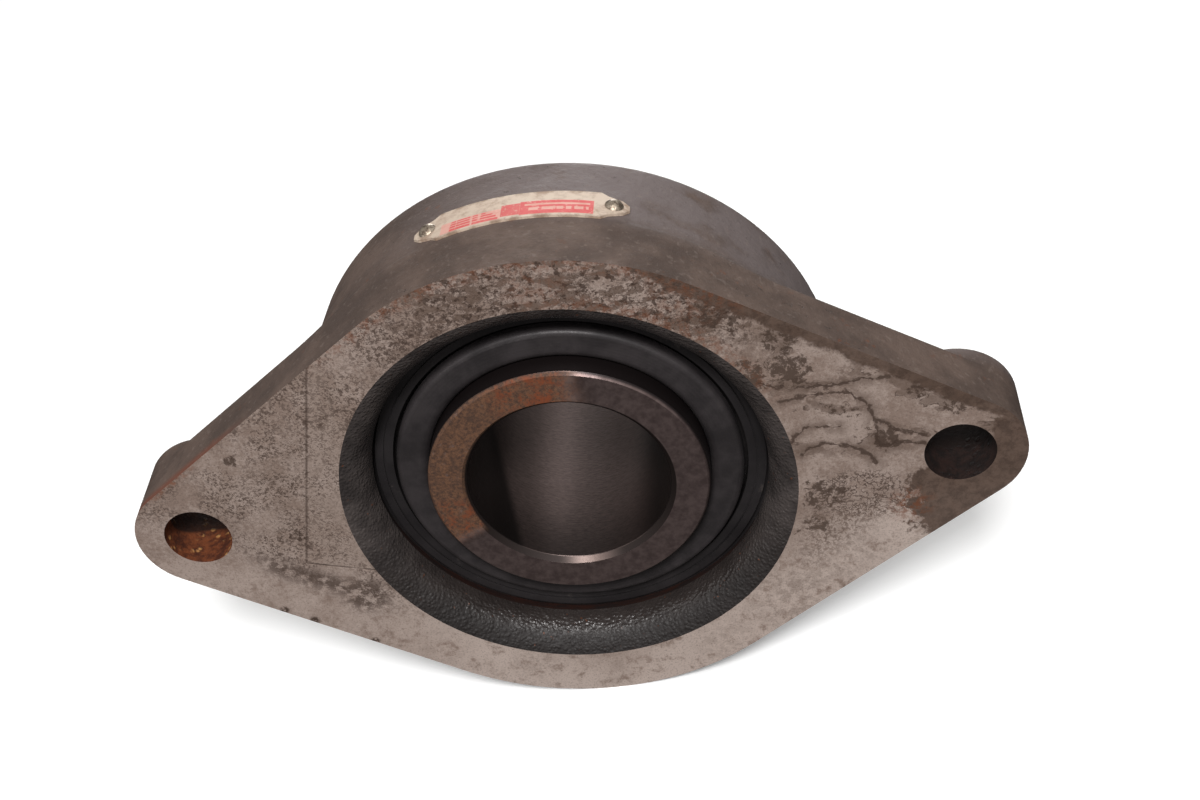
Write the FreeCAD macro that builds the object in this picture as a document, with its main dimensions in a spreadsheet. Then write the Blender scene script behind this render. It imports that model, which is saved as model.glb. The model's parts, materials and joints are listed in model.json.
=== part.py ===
"""Two-bolt flange mount bearing: a cast housing around a swivelling ball bearing insert.

Frame: X runs along the line of the two bolts, Y along the shaft away from the mounting
face, Z up. The origin is the centre of the bore on the mounting face. Millimetres.
"""
import FreeCAD, Part
import math
import os
import Sketcher

doc = FreeCAD.newDocument("flange_mount_bearing")
sheet = doc.addObject("Spreadsheet::Sheet", "Sizes")
V = FreeCAD.Vector


# ---------------------------------------------------------------- sizes

class Size:
    """A number together with the spreadsheet expression that gives it."""

    def __init__(self, value, text):
        self.value = value
        self.text = text

    def join(self, other, sign, value):
        return Size(value, "(" + self.text + " " + sign + " " + as_size(other).text + ")")

    def __add__(self, other):
        return self.join(other, "+", self.value + as_size(other).value)

    def __sub__(self, other):
        return self.join(other, "-", self.value - as_size(other).value)

    def __mul__(self, other):
        return self.join(other, "*", self.value * as_size(other).value)

    def __truediv__(self, other):
        return self.join(other, "/", self.value / as_size(other).value)

    def __neg__(self):
        return as_size(0.0) - self


def as_size(thing):
    if isinstance(thing, Size):
        return thing
    return Size(float(thing), repr(float(thing)))


def root(size):
    return Size(math.sqrt(size.value), "sqrt(" + size.text + ")")


def dome_radius(rim_radius, rise):
    """The sphere's radius for a round head that rises by a height above its rim."""
    return (rise * rise + rim_radius * rim_radius) / (rise * 2)


def circle_half(radius, distance):
    """Half the width of a circle of the given radius, at a distance from its centre."""
    return root(radius * radius - distance * distance)


def driving(**cells):
    """Write each named size in the sheet and return them as Size values."""
    made = []
    for name, value in cells.items():
        row = driving.next_row
        sheet.set("A%d" % row, name)
        sheet.set("B%d" % row, repr(float(value)))
        sheet.setAlias("B%d" % row, name)
        made.append(Size(float(value), "Sizes." + name))
        driving.next_row = row + 1
    return made


driving.next_row = 1

# Housing: a drop-shaped flange around a round barrel.
(bolt_spacing, bolt_hole_radius, hull_radius, ear_radius, flange_thick, boss_high) = driving(
    bolt_spacing=143.7, bolt_hole_radius=6.5, hull_radius=52.5, ear_radius=12.1,
    flange_thick=12.0, boss_high=16.0)
(barrel_long, barrel_root_radius, barrel_nose_radius, cove_radius, nose_round, edge_round) = driving(
    barrel_long=35.5, barrel_root_radius=52.4, barrel_nose_radius=51.2, cove_radius=2.0,
    nose_round=3.0, edge_round=1.6)
(mouth_radius, lip_depth, lip_round, seat_chamfer, slot_angle, slot_play) = driving(
    mouth_radius=42.5, lip_depth=7.4, lip_round=7.6, seat_chamfer=0.8, slot_angle=45.0,
    slot_play=0.4)

# Insert: a wide inner ring, nine balls and a spherical outer ring.
(sphere_radius, sphere_centre, seat_gap, ring_half_wide, ring_land_radius) = driving(
    sphere_radius=40.0, sphere_centre=22.0, seat_gap=0.06, ring_half_wide=13.1,
    ring_land_radius=33.6)
(bore_radius, collar_radius, ring_back, ring_front, bore_chamfer, small_chamfer) = driving(
    bore_radius=19.05, collar_radius=26.5, ring_back=19.0, ring_front=30.8, bore_chamfer=1.0,
    small_chamfer=0.6)
(ring_ease, face_line_radius, face_line_wide, face_line_deep) = driving(
    ring_ease=0.8, face_line_radius=35.1, face_line_wide=0.35, face_line_deep=0.3)
(ball_radius, pitch_radius, race_round, race_gap, ball_count) = driving(
    ball_radius=5.953, pitch_radius=30.0, race_round=6.2, race_gap=0.03, ball_count=9)

# Cage of two pressed halves held by rivets.
(cage_sheet, cage_inner, cage_outer, pocket_play, rivet_radius, rivet_head_radius) = driving(
    cage_sheet=0.8, cage_inner=28.0, cage_outer=32.0, pocket_play=0.25, rivet_radius=0.9,
    rivet_head_radius=1.6)
(rivet_head_high,) = driving(rivet_head_high=0.5)

# Seal shells, rubber lips and flingers, the same at both ends.
(shell_sheet, shell_near, shell_far, shell_inner, lip_gap, lip_thick, lip_blunt, lip_foot,
 lip_shoulder, lip_lean) = driving(
    shell_sheet=0.8, shell_near=8.6, shell_far=10.6, shell_inner=28.6, lip_gap=0.05,
    lip_thick=1.6, lip_blunt=0.3, lip_foot=0.5, lip_shoulder=0.9, lip_lean=0.2)
(flinger_sheet, flinger_radius, flinger_face, flinger_rim, flinger_hub, flinger_bend) = driving(
    flinger_sheet=0.8, flinger_radius=32.8, flinger_face=15.0, flinger_rim=12.3,
    flinger_hub=11.3, flinger_bend=1.1)

# Set screws, locking pin, grease fitting, name plate and its drive screws.
(screw_radius, screw_long, screw_tip_at, screw_plane, screw_key, screw_play, screw_bevel,
 screw_cup_radius, screw_cup_deep, screw_point_radius) = driving(
    screw_radius=3.96, screw_long=6.8, screw_tip_at=19.45, screw_plane=23.6, screw_key=4.0,
    screw_play=0.04, screw_bevel=0.7, screw_cup_radius=1.386, screw_cup_deep=0.9,
    screw_point_radius=2.455)
(pin_radius, pin_play, pin_bevel, pin_tip_at, pin_head_at, pin_slot_half, pin_slot_floor) = driving(
    pin_radius=1.5, pin_play=0.05, pin_bevel=0.3, pin_tip_at=37.9, pin_head_at=51.0,
    pin_slot_half=5.6, pin_slot_floor=37.5)
(grease_plane, grease_groove_wide, grease_groove_deep, grease_way_radius) = driving(
    grease_plane=7.0, grease_groove_wide=2.6, grease_groove_deep=1.4, grease_way_radius=1.4)
(fitting_seat_at, fitting_spot_radius, fitting_thread_radius, fitting_thread_long,
 fitting_thread_bevel, fitting_hex, fitting_hex_high, fitting_nose_long) = driving(
    fitting_seat_at=50.6, fitting_spot_radius=5.6, fitting_thread_radius=3.0,
    fitting_thread_long=6.0, fitting_thread_bevel=0.6, fitting_hex=8.0, fitting_hex_high=2.6,
    fitting_nose_long=5.2)
(fitting_neck_radius, fitting_head_radius, fitting_neck_end, fitting_head_start, fitting_head_end,
 fitting_mouth_deep) = driving(
    fitting_neck_radius=2.16, fitting_head_radius=3.28, fitting_neck_end=3.2,
    fitting_head_start=2.2, fitting_head_end=1.3, fitting_mouth_deep=0.5)
(check_radius, check_gap, check_play, mouth_of_fitting, spring_wire, spring_turns,
 spring_stop) = driving(
    check_radius=1.1, check_gap=0.03, check_play=0.2, mouth_of_fitting=0.75, spring_wire=0.36,
    spring_turns=4, spring_stop=2.2)
(plate_thick, plate_gap, plate_plane, plate_half_long, plate_half_high, plate_body_half,
 plate_corner, tab_root_half_high, tab_tip_half_high) = driving(
    plate_thick=0.5, plate_gap=0.04, plate_plane=17.8, plate_half_long=19.4,
    plate_half_high=4.2, plate_body_half=14.6, plate_corner=1.2, tab_root_half_high=3.1,
    tab_tip_half_high=2.1)
(drive_angle, drive_head_radius, drive_head_high, drive_shank_radius, drive_shank_long) = driving(
    drive_angle=18.6, drive_head_radius=1.7, drive_head_high=1.0, drive_shank_radius=1.0,
    drive_shank_long=5.0)

# Room left past a face by a cutting outline, so that no skin of metal stays behind.
(overcut,) = driving(overcut=1.0)
doc.recompute()

# How far the cast barrel narrows for each millimetre towards its nose.
barrel_slope = (barrel_root_radius - barrel_nose_radius) / (barrel_long - flange_thick)
set_screw_angles = (-60.0, 60.0)


# ---------------------------------------------------------------- drawing helpers

def new_body(label):
    body = doc.addObject("PartDesign::Body", "body_" + label)
    body.Label = label
    return body


def new_sketch(body, role, offset=None):
    """A sketch on one of the body's own origin planes, moved by an optional placement."""
    sketch = body.newObject("Sketcher::SketchObject", "sketch")
    plane = [item for item in body.Origin.OriginFeatures if item.Role == role][0]
    sketch.AttachmentSupport = (plane, [""])
    sketch.MapMode = "FlatFace"
    if offset is not None:
        sketch.AttachmentOffset = offset
    return sketch


same_place = 1e-3
least_change = 1e-3


def bind(sketch, constraint, size):
    index = sketch.addConstraint(constraint)
    sketch.setExpression("Constraints[%d]" % index, size.text)


def fix_point(sketch, geometry, position, across, up):
    """Tie a point to its two distances from the sketch's origin."""
    across, up = as_size(across), as_size(up)
    for kind, size in (("DistanceX", across), ("DistanceY", up)):
        if size.value == 0.0:
            line = -2 if kind == "DistanceX" else -1
            sketch.addConstraint(Sketcher.Constraint("PointOnObject", geometry, position, line))
        else:
            bind(sketch, Sketcher.Constraint(kind, -1, 1, geometry, position, size.value), size)


def draw_outline(sketch, points, arcs=None):
    """A closed outline through points, where arcs[i] = (radius, side) rounds stretch i.

    Side 1 bulges to the left of the way the outline runs, and -1 to the right.
    """
    arcs = arcs or {}
    flat = [V(as_size(a).value, as_size(b).value, 0) for a, b in points]
    count = len(flat)
    pieces, ends = [], []
    for i, start in enumerate(flat):
        end = flat[(i + 1) % count]
        if i not in arcs:
            pieces.append(Part.LineSegment(start, end))
            ends.append((1, 2))
            continue
        radius, side = arcs[i]
        pieces.append(round_stretch(start, end, radius.value, side))
        ends.append((1, 2) if side < 0 else (2, 1))
    first = sketch.GeometryCount
    sketch.addGeometry(pieces, False)
    for i in range(count):
        after = (i + 1) % count
        sketch.addConstraint(Sketcher.Constraint(
            "Coincident", first + i, ends[i][1], first + after, ends[after][0]))
    for i, (across, up) in enumerate(points):
        fix_point(sketch, first + i, ends[i][0], across, up)
    for i, (radius, side) in arcs.items():
        bind(sketch, Sketcher.Constraint("Radius", first + i, radius.value), radius)


def round_stretch(start, end, radius, side):
    """The arc from start to end, drawn anticlockwise whichever way it is run."""
    chord = end - start
    out = V(-chord.y, chord.x, 0).normalize() * side
    centre = (start + end) * 0.5 - out * math.sqrt(max(radius ** 2 - (chord.Length / 2) ** 2, 0.0))
    begin, finish = (start, end) if side < 0 else (end, start)
    low = math.atan2(begin.y - centre.y, begin.x - centre.x)
    high = math.atan2(finish.y - centre.y, finish.x - centre.x)
    if high < low:
        high += 2 * math.pi
    return Part.ArcOfCircle(Part.Circle(centre, V(0, 0, 1), radius), low, high)


def draw_circle(sketch, across, up, radius):
    centre = V(as_size(across).value, as_size(up).value, 0)
    index = sketch.addGeometry(Part.Circle(centre, V(0, 0, 1), radius.value), False)
    fix_point(sketch, index, 3, across, up)
    bind(sketch, Sketcher.Constraint("Radius", index, radius.value), radius)


def volume_of(body):
    return 0.0 if body.Shape.isNull() else body.Shape.Volume


def feature_of(body, kind, sketch):
    feature = body.newObject("PartDesign::" + kind, kind.lower())
    feature.Profile = sketch
    return feature


def check_change(body, before, cut):
    """Stop unless the newest feature added material, or took some away if it cuts."""
    doc.recompute()
    gained = body.Shape.Volume - before
    if (-gained if cut else gained) < least_change:
        raise RuntimeError(body.Label + ": a feature changed the volume by %.4f" % gained)


def turned(body, points, arcs=None, cut=False, offset=None):
    """Revolve an outline of (radius, height) points about the body's Y axis."""
    sketch = new_sketch(body, "XY_Plane", offset)
    draw_outline(sketch, points, arcs)
    before = volume_of(body)
    feature = feature_of(body, "Groove" if cut else "Revolution", sketch)
    feature.ReferenceAxis = (sketch, ["V_Axis"])
    feature.Angle = 360
    check_change(body, before, cut)


def raised(body, sketch, length=None, cut=False, backwards=False):
    """Pad or pocket a sketch by a length, or pocket it through everything if none is given."""
    before = volume_of(body)
    feature = feature_of(body, "Pocket" if cut else "Pad", sketch)
    if length is None:
        feature.Type = "ThroughAll"
    else:
        feature.setExpression("Length", length.text)
    feature.Reversed = backwards
    check_change(body, before, cut)


def all_at(edge, height):
    """Whether every vertex of an edge is at one height above the mounting face."""
    return all(abs(vertex.Point.y - height.value) < same_place for vertex in edge.Vertexes)


def on_boss_top(edge):
    return all_at(edge, boss_high)


def on_flange_rim(edge):
    """Edges where the flange's side meets its nose-side face or the cove."""
    low, high = flange_thick.value - same_place, flange_thick.value + cove_radius.value
    middle = edge.valueAt((edge.FirstParameter + edge.LastParameter) / 2)
    spots = [vertex.Point for vertex in edge.Vertexes] + [middle]
    inside = barrel_root_radius.value + same_place
    outside = all(low < spot.y < high and math.hypot(spot.x, spot.z) > inside for spot in spots)
    return outside and len(edge.Vertexes) == 2 and not is_cove_foot(edge)


def is_cove_foot(edge):
    """Whether an edge is the circle where the cove runs out on the flange."""
    curve = edge.Curve
    middle_of_cove = barrel_root_radius.value + cove_radius.value / 2
    return curve.TypeId == "Part::GeomCircle" and curve.Radius > middle_of_cove


def round_edges(body, radius, wanted):
    """Fillet the edges of the body's shape that the test function accepts."""
    tip = body.Tip
    names = ["Edge%d" % (i + 1) for i, edge in enumerate(tip.Shape.Edges) if wanted(edge)]
    feature = body.newObject("PartDesign::Fillet", "fillet")
    feature.Base = (tip, names)
    feature.setExpression("Radius", radius.text)
    doc.recompute()


def around_y(angle):
    return FreeCAD.Rotation(V(0, 1, 0), angle)


def moved(across, along, high, rotation=None):
    return FreeCAD.Placement(V(across, along, high), rotation or FreeCAD.Rotation())


# ---------------------------------------------------------------- housing

def seat_radius():
    return sphere_radius + seat_gap


def make_housing():
    """Cast flange and barrel with a spherical seat, two bolt bosses and small drillings."""
    body = new_body("housing")
    half = bolt_spacing / 2

    # Flange outline: the hull of one large circle and a small one round each bolt.
    lean_sin = (hull_radius - ear_radius) / half
    lean_cos = root(as_size(1.0) - lean_sin * lean_sin)
    ear_x, ear_z = half + ear_radius * lean_sin, ear_radius * lean_cos
    hub_x, hub_z = hull_radius * lean_sin, hull_radius * lean_cos
    outline = [(ear_x, -ear_z), (ear_x, ear_z), (hub_x, hub_z), (-hub_x, hub_z),
               (-ear_x, ear_z), (-ear_x, -ear_z), (-hub_x, -hub_z), (hub_x, -hub_z)]
    sketch = new_sketch(body, "XZ_Plane")
    draw_outline(sketch, outline, {0: (ear_radius, -1), 2: (hull_radius, -1),
                                   4: (ear_radius, -1), 6: (hull_radius, -1)})
    raised(body, sketch, barrel_long, backwards=True)

    # The barrel is turned free of the flange, with a cove at its root and a round nose.
    slant = root(barrel_slope * barrel_slope + 1.0)
    cove_run = cove_radius / (slant + barrel_slope)
    nose_run = nose_round / (slant + barrel_slope)
    clear = half * 2
    above = barrel_long + overcut
    turned(body, [(clear, flange_thick),
                  (barrel_root_radius + cove_run, flange_thick),
                  (barrel_root_radius - barrel_slope * cove_run / slant,
                   flange_thick + cove_run / slant),
                  (barrel_nose_radius + barrel_slope * nose_run / slant,
                   barrel_long - nose_run / slant),
                  (barrel_nose_radius - nose_run, barrel_long),
                  (barrel_nose_radius - nose_run, above),
                  (clear, above)],
           {1: (cove_radius, 1), 3: (nose_round, -1)}, cut=True)

    # The cast rim of the flange and barrel root is rounded on the nose side.
    round_edges(body, edge_round, on_flange_rim)

    # Bosses round the bolt holes.
    sketch = new_sketch(body, "XZ_Plane")
    draw_circle(sketch, half, 0, ear_radius)
    draw_circle(sketch, -half, 0, ear_radius)
    raised(body, sketch, boss_high, backwards=True)
    round_edges(body, edge_round, on_boss_top)

    # Rough rounded lip, spherical seat and chamfer at the nose.
    lip_radius = circle_half(seat_radius(), sphere_centre - lip_depth)
    nose_at = barrel_long - seat_chamfer
    nose_hole = circle_half(seat_radius(), nose_at - sphere_centre)
    turned(body, [(0, -overcut), (mouth_radius, -overcut), (mouth_radius, 0), (lip_radius, lip_depth),
                  (nose_hole, nose_at), (nose_hole + seat_chamfer, barrel_long),
                  (nose_hole + seat_chamfer, above), (0, above)],
           {2: (lip_round, 1), 3: (seat_radius(), -1)}, cut=True)

    # Two loading slots at the nose let the outer ring in edge-on.
    slot_half = ring_half_wide + slot_play
    slot_reach = circle_half(seat_radius(), slot_half)
    sketch = new_sketch(body, "XZ_Plane", moved(0, 0, -sphere_centre.value, FreeCAD.Rotation(
        V(0, 0, 1), slot_angle.value)))
    draw_outline(sketch, [(slot_half, -slot_reach), (slot_half, slot_reach),
                          (-slot_half, slot_reach), (-slot_half, -slot_reach)],
                 {1: (seat_radius(), -1), 3: (seat_radius(), -1)})
    raised(body, sketch, barrel_long - sphere_centre + overcut, cut=True)

    # Bolt holes.
    sketch = new_sketch(body, "XZ_Plane")
    draw_circle(sketch, half, 0, bolt_hole_radius)
    draw_circle(sketch, -half, 0, bolt_hole_radius)
    raised(body, sketch, cut=True)

    # Hole for the locking pin, straight down from the seat.
    sketch = new_sketch(body, "XY_Plane")
    draw_circle(sketch, 0, sphere_centre, pin_radius + pin_play)
    raised(body, sketch, cut=True)

    # Grease way on the -X side, tapped for the fitting and spot-faced.
    fitting_at = sphere_centre + grease_plane
    for radius, start in ((grease_way_radius, as_size(0)),
                          (fitting_thread_radius, fitting_seat_at - fitting_thread_long - overcut),
                          (fitting_spot_radius, fitting_seat_at)):
        sketch = new_sketch(body, "YZ_Plane", moved(0, 0, -start.value))
        draw_circle(sketch, fitting_at, 0, radius)
        raised(body, sketch, cut=True)

    # Holes for the name plate's drive screws.
    floor_of_hole = barrel_root_radius - drive_shank_long - overcut
    for side in (-1, 1):
        turn = around_y(side * drive_angle.value)
        sketch = new_sketch(body, "XY_Plane", FreeCAD.Placement(
            turn.multVec(V(0, 0, floor_of_hole.value)), turn))
        draw_circle(sketch, 0, plate_plane, drive_shank_radius)
        raised(body, sketch, cut=True, backwards=True)
    return body


# ---------------------------------------------------------------- name plate

def barrel_skin(height):
    """The barrel's outer radius at a height above the mounting face."""
    return barrel_root_radius - barrel_slope * (height - flange_thick)


def make_name_plate():
    """A thin curved plate on top of the barrel: a body with cut corners and two tapered end tabs."""
    outline = [(plate_half_long, tab_tip_half_high / 3),
               (plate_half_long - plate_corner, tab_tip_half_high),
               (plate_body_half + plate_corner, tab_root_half_high),
               (plate_body_half, plate_half_high)]
    mirrored = [(-across, up) for across, up in reversed(outline)]
    upper = outline + mirrored
    lower = [(across, -up) for across, up in reversed(upper)]
    points = [(across, plate_plane + up) for across, up in upper + lower]

    body = new_body("name_plate")
    near = plate_plane - plate_half_high - overcut
    far = plate_plane + plate_half_high + overcut
    near_skin, far_skin = barrel_skin(near) + plate_gap, barrel_skin(far) + plate_gap
    turned(body, [(near_skin, near), (near_skin + plate_thick, near),
                  (far_skin + plate_thick, far), (far_skin, far)])
    # Only the stretch inside the outline is kept, and only on the upper half of the barrel.
    sketch = new_sketch(body, "XY_Plane")
    frame_half = hull_radius + flange_thick
    frame = [(frame_half, -frame_half), (frame_half, frame_half), (-frame_half, frame_half),
             (-frame_half, -frame_half)]
    draw_outline(sketch, frame)
    draw_outline(sketch, points)
    raised(body, sketch, frame_half, cut=True, backwards=True)
    sketch = new_sketch(body, "XY_Plane")
    draw_outline(sketch, frame)
    raised(body, sketch, frame_half, cut=True)
    for side in (-1, 1):
        sketch = new_sketch(body, "XY_Plane", FreeCAD.Placement(
            V(0, 0, 0), around_y(side * drive_angle.value)))
        draw_circle(sketch, 0, plate_plane, drive_shank_radius + plate_gap)
        raised(body, sketch, cut=True, backwards=True)
    return body


def make_drive_screw(label, side):
    """A dome-headed drive screw standing radially in the barrel."""
    body = new_body(label)
    under_head = barrel_skin(plate_plane) + plate_thick + plate_gap * 4
    foot = under_head - drive_shank_long
    dome = dome_radius(drive_head_radius, drive_head_high)
    turned(body, [(0, foot), (drive_shank_radius, foot), (drive_shank_radius, under_head),
                  (drive_head_radius, under_head), (0, under_head + drive_head_high)],
           {3: (dome, -1)})
    upright = FreeCAD.Rotation(V(1, 0, 0), 90)
    body.Placement = moved(0, plate_plane.value, 0, around_y(side * drive_angle.value) * upright)
    return body


# ---------------------------------------------------------------- insert rings

def make_outer_ring():
    """Spherical outer ring with a ball race, a grease groove and a slot for the locking pin."""
    body = new_body("outer_ring")
    corner = circle_half(sphere_radius, ring_half_wide)
    eased_at = ring_half_wide - ring_ease
    shoulder = circle_half(sphere_radius, eased_at)
    race_floor = pitch_radius + ball_radius + race_gap
    race_half = circle_half(race_round, ring_land_radius - (race_floor - race_round))
    groove_near = grease_plane - grease_groove_wide / 2
    groove_far = grease_plane + grease_groove_wide / 2
    groove_floor = sphere_radius - grease_groove_deep
    points = [(ring_land_radius, -race_half), (ring_land_radius, -ring_half_wide),
              (corner - ring_ease, -ring_half_wide), (shoulder, -eased_at),
              (circle_half(sphere_radius, groove_near), groove_near),
              (groove_floor, groove_near), (groove_floor, groove_far),
              (circle_half(sphere_radius, groove_far), groove_far),
              (shoulder, eased_at), (corner - ring_ease, ring_half_wide),
              (ring_land_radius, ring_half_wide), (ring_land_radius, race_half)]
    rounding = ring_ease * 1.2
    turned(body, points, {2: (rounding, 1), 3: (sphere_radius, 1), 7: (sphere_radius, 1),
                          8: (rounding, 1), 11: (race_round, 1)})
    # A fine line turned in each face.
    line_far = face_line_radius + face_line_wide
    for side in (-1, 1):
        line_floor = (ring_half_wide - face_line_deep) * side
        clear = (ring_half_wide + overcut) * side
        turned(body, [(face_line_radius, line_floor), (line_far, line_floor),
                      (line_far, clear), (face_line_radius, clear)], cut=True)
    # Slot for the locking pin, longer along the shaft so that the ring can tilt.
    sketch = new_sketch(body, "XY_Plane", moved(0, 0, -pin_slot_floor.value))
    wide = pin_radius + pin_play * 2
    straight = pin_slot_half - wide
    slot_end = wide * 1.001
    draw_outline(sketch, [(wide, -straight), (wide, straight), (-wide, straight),
                          (-wide, -straight)], {1: (slot_end, -1), 3: (slot_end, -1)})
    raised(body, sketch, sphere_radius - pin_slot_floor + overcut, cut=True)
    # Grease holes from the groove to the inside.
    sketch = new_sketch(body, "YZ_Plane")
    draw_circle(sketch, grease_plane, 0, grease_way_radius / 2)
    raised(body, sketch, cut=True)
    body.Placement = moved(0, sphere_centre.value, 0)
    return body


def make_inner_ring():
    """Inner ring with a ball race, a long collar and two tapped holes for set screws."""
    body = new_body("inner_ring")
    race_floor = pitch_radius - ball_radius - race_gap
    race_half = circle_half(race_round, race_floor + race_round - collar_radius)
    points = [(bore_radius, -(ring_back - bore_chamfer)), (bore_radius + bore_chamfer, -ring_back),
              (collar_radius - small_chamfer, -ring_back),
              (collar_radius, -(ring_back - small_chamfer)), (collar_radius, -race_half),
              (collar_radius, race_half), (collar_radius, ring_front - small_chamfer),
              (collar_radius - small_chamfer, ring_front),
              (bore_radius + small_chamfer, ring_front),
              (bore_radius, ring_front - small_chamfer)]
    turned(body, points, {4: (race_round, 1)})
    for angle in set_screw_angles:
        sketch = new_sketch(body, "XY_Plane", FreeCAD.Placement(V(0, 0, 0), around_y(angle)))
        draw_circle(sketch, 0, screw_plane, screw_radius + screw_play)
        raised(body, sketch, collar_radius + overcut, cut=True, backwards=True)
    body.Placement = moved(0, sphere_centre.value, 0)
    return body


def make_set_screw(label, angle):
    """A cup-point set screw with a hexagon socket, standing radially in the collar."""
    body = new_body(label)
    head_at = screw_tip_at + screw_long
    turned(body, [(0, screw_tip_at + screw_cup_deep), (screw_cup_radius, screw_tip_at),
                  (screw_point_radius, screw_tip_at),
                  (screw_radius, screw_tip_at + screw_radius - screw_point_radius),
                  (screw_radius, head_at - screw_bevel), (screw_radius - screw_bevel, head_at),
                  (0, head_at)])
    sketch = new_sketch(body, "XZ_Plane", moved(0, 0, -head_at.value))
    draw_hexagon(sketch, screw_key)
    raised(body, sketch, screw_long / 2, cut=True, backwards=True)
    upright = FreeCAD.Rotation(V(1, 0, 0), 90)
    body.Placement = moved(0, (sphere_centre + screw_plane).value, 0, around_y(angle) * upright)
    return body


def draw_hexagon(sketch, across_flats):
    corner = across_flats / root(as_size(3.0))
    flat = across_flats / 2
    draw_outline(sketch, [(corner, 0), (corner / 2, flat), (-corner / 2, flat), (-corner, 0),
                          (-corner / 2, -flat), (corner / 2, -flat)])


# ---------------------------------------------------------------- balls and cage

def sphere_body(label, radius, placement):
    body = new_body(label)
    sphere = body.newObject("PartDesign::AdditiveSphere", "sphere")
    sphere.setExpression("Radius", radius.text)
    doc.recompute()
    body.Placement = placement
    return body


def make_ball(label, angle):
    turn = around_y(angle)
    centre = turn.multVec(V(0, 0, pitch_radius.value)) + V(0, sphere_centre.value, 0)
    return sphere_body(label, ball_radius, FreeCAD.Placement(centre, turn))


def primitive(kind, placement=None, **sizes):
    """A Part primitive with its sizes bound to the sheet."""
    solid = doc.addObject("Part::" + kind, kind.lower())
    for name, size in sizes.items():
        solid.setExpression(name, as_size(size).text)
    if placement is not None:
        solid.Placement = placement
    return solid


def drum(radius, low, high, across=0.0, up=0.0):
    """A cylinder along Y between two heights."""
    upright = FreeCAD.Rotation(V(1, 0, 0), -90)
    place = moved(across, as_size(low).value, up, upright)
    return primitive("Cylinder", place, Radius=radius, Height=as_size(high) - low)


def fused(solids):
    joined = doc.addObject("Part::MultiFuse", "fuse")
    joined.Shapes = solids
    return joined


def cut_from(base, tool):
    result = doc.addObject("Part::Cut", "cut")
    result.Base = base
    result.Tool = tool
    return result


def make_cage_half(label, end):
    """One pressed half of the cage: a flat ring with a round pocket over each ball."""
    pocket = ball_radius + pocket_play
    reach = pocket + cage_sheet * 2
    domes, hollows = [], []
    for i in range(int(ball_count.value)):
        turn = around_y(i * 360 / ball_count.value)
        centre = turn.multVec(V(0, 0, pitch_radius.value))
        rivet_at = around_y((i + 0.5) * 360 / ball_count.value).multVec(V(0, 0, pitch_radius.value))
        domes.append(primitive("Sphere", moved(*centre), Radius=pocket + cage_sheet))
        hollows.append(primitive("Sphere", moved(*centre), Radius=pocket))
        hollows.append(drum(rivet_radius, -overcut, cage_sheet * 2, rivet_at.x, rivet_at.z))
    band = cut_from(drum(cage_outer, 0.0, reach), drum(cage_inner, -overcut, reach + overcut))
    blank = doc.addObject("Part::MultiCommon", "blank")
    blank.Shapes = [fused([drum(cage_outer + overcut, -overcut, cage_sheet)] + domes), band]
    half = cut_from(blank, fused(hollows))
    half.Label = label
    flip = FreeCAD.Rotation() if end > 0 else FreeCAD.Rotation(V(0, 0, 1), 180)
    half.Placement = moved(0, sphere_centre.value, 0, flip)
    doc.recompute()
    return half


def make_cage_rivets():
    """Round-headed rivets between the pockets, one solid each."""
    profile = doc.addObject("Sketcher::SketchObject", "rivet_profile")
    head = cage_sheet + rivet_head_high
    dome = dome_radius(rivet_head_radius, rivet_head_high)
    draw_outline(profile, [(0, -head), (rivet_head_radius, -cage_sheet),
                           (rivet_radius, -cage_sheet), (rivet_radius, cage_sheet),
                           (rivet_head_radius, cage_sheet), (0, head)],
                 {0: (dome, -1), 4: (dome, -1)})
    rivet = doc.addObject("Part::Revolution", "rivet")
    rivet.Source = profile
    rivet.Axis = V(0, 1, 0)
    rivet.Angle = 360
    rivet.Solid = True
    doc.recompute()
    copies = []
    for i in range(int(ball_count.value)):
        turn = around_y((i + 0.5) * 360 / ball_count.value)
        copy = rivet.Shape.copy()
        copy.Placement = FreeCAD.Placement(turn.multVec(V(0, 0, pitch_radius.value))
                                           + V(0, sphere_centre.value, 0), turn)
        copies.append(copy)
    group = doc.addObject("Part::Feature", "cage_rivets")
    group.Shape = Part.makeCompound(copies)
    return group


# ---------------------------------------------------------------- seals and flingers

def mirrored_section(points, arcs, end):
    """The same section at either end of the bearing: end is 1 at the nose, -1 at the back."""
    if end > 0:
        return points, arcs
    flipped = [(across, -as_size(up)) for across, up in points]
    return flipped, {i: (radius, -side) for i, (radius, side) in arcs.items()}


def make_ring(label, end, points, arcs=None):
    body = new_body(label)
    points, arcs = mirrored_section(points, arcs or {}, end)
    turned(body, points, arcs)
    body.Placement = moved(0, sphere_centre.value, 0)
    return body


def make_seal_shell(label, end):
    """An L-section steel ring pressed into the outer ring."""
    inside = ring_land_radius - shell_sheet
    return make_ring(label, end, [
        (ring_land_radius, shell_near), (ring_land_radius, shell_far), (shell_inner, shell_far),
        (shell_inner, shell_far - shell_sheet), (inside, shell_far - shell_sheet),
        (inside, shell_near)])


def make_seal_lip(label, end):
    """A rubber lip moulded on the shell's inner edge and leaning along the inner ring."""
    touch = collar_radius + lip_gap
    tip_at = shell_far - lip_thick
    root_near = shell_far - shell_sheet
    return make_ring(label, end, [
        (shell_inner, shell_far), (shell_inner, root_near),
        (touch + (shell_inner - touch) / 2, root_near - lip_blunt), (touch + lip_blunt, tip_at),
        (touch, tip_at), (touch, tip_at + lip_foot),
        (touch + lip_shoulder, root_near + lip_lean),
        (touch + lip_shoulder + lip_lean, shell_far)])


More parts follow.
